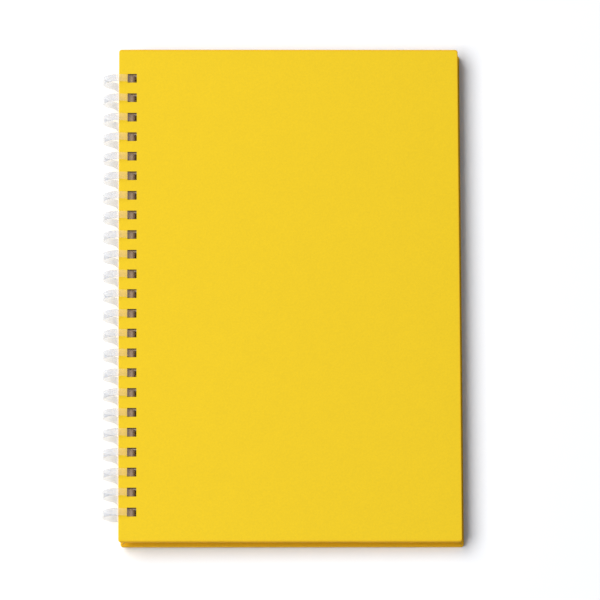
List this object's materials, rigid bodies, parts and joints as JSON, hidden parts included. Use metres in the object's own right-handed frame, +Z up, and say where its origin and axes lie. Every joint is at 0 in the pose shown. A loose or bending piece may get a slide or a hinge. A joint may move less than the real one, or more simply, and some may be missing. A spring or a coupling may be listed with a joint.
{
  "type": "notebook",
  "caption": "Hard-cover notebook with plain paper-wrapped board covers and a page block on a flat-band clear plastic coil, whose covers turn on the coil.",
  "frame": {"origin": "under the middle of the closed notebook, level with the coil's lowest line", "axes": "+X from the coil to the fore edge, +Y to the head, +Z up through the front cover"},
  "size_m": [0.1498, 0.2118, 0.014],
  "materials": {
    "cover_paper": "matte",
    "grey_board": "matte",
    "lining_paper": "matte",
    "page_paper": "matte",
    "clear_coil": "satin"
  },
  "bodies": {
    "back_cover": {"back_board": "grey_board", "back_wrap": "cover_paper", "back_lining": "lining_paper", "binding_coil": "clear_coil"},
    "pages": {"page_block": "page_paper"},
    "front_cover": {"front_board": "grey_board", "front_wrap": "cover_paper", "front_lining": "lining_paper"}
  },
  "joints": [
    {"name": "back_cover_hinge", "type": "hinge", "parent": "back_cover", "child": "pages", "pos_m": [-0.06797, 0, 0.00698], "axis": [0, -1, 0], "range_deg": [0, 180]},
    {"name": "front_cover_hinge", "type": "hinge", "parent": "pages", "child": "front_cover", "pos_m": [-0.06797, 0, 0.00698], "axis": [0, -1, 0], "range_deg": [0, 180]}
  ]
}
